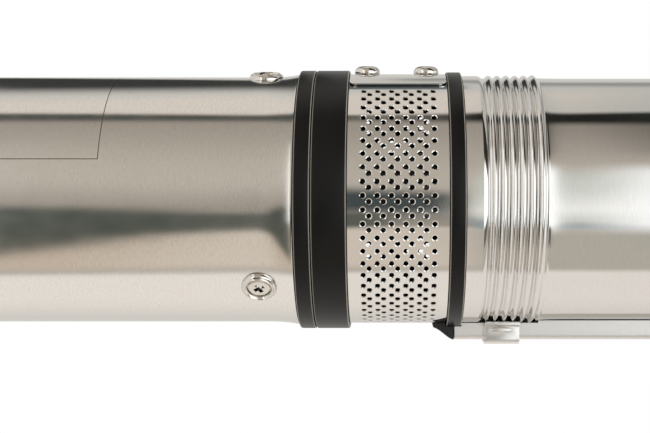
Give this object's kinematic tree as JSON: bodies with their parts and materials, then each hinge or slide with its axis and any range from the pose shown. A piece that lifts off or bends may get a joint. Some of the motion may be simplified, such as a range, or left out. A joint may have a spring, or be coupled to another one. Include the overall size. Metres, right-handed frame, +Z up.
{
  "type": "borehole submersible pump",
  "caption": "Slim stainless borehole pump: motor tube, black rings, perforated intake band, threaded barrel with cable guard, and a discharge head with check valve and lifting eyes.",
  "frame": {"origin": "middle of the motor cap's underside, on the shaft axis", "axes": "+Z up along the shaft from motor to discharge, +X towards the cable guard"},
  "size_m": [0.1053, 0.098, 0.6257],
  "materials": {
    "brushed_stainless": "brushed round the tube",
    "barrel_stainless": "polished, fine grain",
    "strainer_sheet": "polished perforated sheet",
    "bright_steel": "bright stainless",
    "ground_steel": "ground",
    "cast_stainless": "investment cast, satin",
    "grey_iron": "machined casting",
    "core_steel": "varnished laminations",
    "copper": "enamelled winding wire",
    "ceramic": "lapped ceramic",
    "black_plastic": "moulded, satin",
    "stage_resin": "moulded resin",
    "rubber": "moulded"
  },
  "bodies": {
    "casing": {"motor_bottom_cap": "black_plastic", "breather_diaphragm": "rubber", "motor_tube": "brushed_stainless", "lower_bearing_bracket": "grey_iron", "upper_bearing_bracket": "grey_iron", "lower_outer_race": "ground_steel", "upper_outer_race": "ground_steel", "stator_core": "core_steel", "stator_winding": "copper", "motor_end_ring": "black_plastic", "seal_seat": "ceramic", "cup_washer_1": "bright_steel", "cup_washer_2": "bright_steel", "cup_washer_3": "bright_steel", "motor_screw_1": "bright_steel", "motor_screw_2": "bright_steel", "motor_screw_3": "bright_steel", "cap_screw_1": "bright_steel", "cap_screw_2": "bright_steel", "cap_screw_3": "bright_steel", "intake_bracket": "black_plastic", "strainer_band": "strainer_sheet", "strainer_screw_1": "bright_steel", "strainer_screw_2": "bright_steel", "cable_boot": "black_plastic", "cable_guard": "barrel_stainless", "guard_clip_lower": "barrel_stainless", "guard_clip_upper": "barrel_stainless", "pump_tube": "barrel_stainless", "inlet_plate": "stage_resin", "diffuser_1": "stage_resin", "diffuser_2": "stage_resin", "diffuser_3": "stage_resin", "bearing_spider": "stage_resin", "pump_bush": "rubber", "discharge_head": "cast_stainless", "lifting_lug_front": "cast_stainless", "lifting_lug_back": "cast_stainless", "valve_seat": "rubber", "valve_guide": "stage_resin", "valve_spring": "bright_steel"},
    "shaft_line": {"motor_shaft": "ground_steel", "rotor_core": "core_steel", "lower_inner_race": "ground_steel", "upper_inner_race": "ground_steel", "seal_head": "rubber", "shaft_coupling": "bright_steel", "pump_shaft": "ground_steel", "impeller_1": "stage_resin", "impeller_2": "stage_resin", "impeller_3": "stage_resin", "shaft_sleeve": "bright_steel"},
    "lower_balls": {"lower_ball_cage": "ground_steel"},
    "upper_balls": {"upper_ball_cage": "ground_steel"},
    "check_valve": {"valve_poppet": "stage_resin"}
  },
  "joints": [
    {"name": "shaft_spin", "type": "hinge", "parent": "casing", "child": "shaft_line", "pos_m": [0, 0, 0.3484], "axis": [0, 0, 1], "continuous": true},
    {"name": "lower_cage_spin", "type": "hinge", "parent": "casing", "child": "lower_balls", "pos_m": [0, 0, 0.0573], "axis": [0, 0, 1], "continuous": true},
    {"name": "upper_cage_spin", "type": "hinge", "parent": "casing", "child": "upper_balls", "pos_m": [0, 0, 0.2607], "axis": [0, 0, 1], "continuous": true},
    {"name": "valve_lift", "type": "slide", "parent": "casing", "child": "check_valve", "axis": [0, 0, 1], "range_m": [0, 0.008], "stiffness_N_per_m": 120, "springref_m": -0.005, "deforming": ["valve_spring"]}
  ],
  "couplings": [
    {"joint": "lower_cage_spin", "follows": "shaft_spin", "ratio": 0.437},
    {"joint": "upper_cage_spin", "follows": "shaft_spin", "ratio": 0.437}
  ]
}
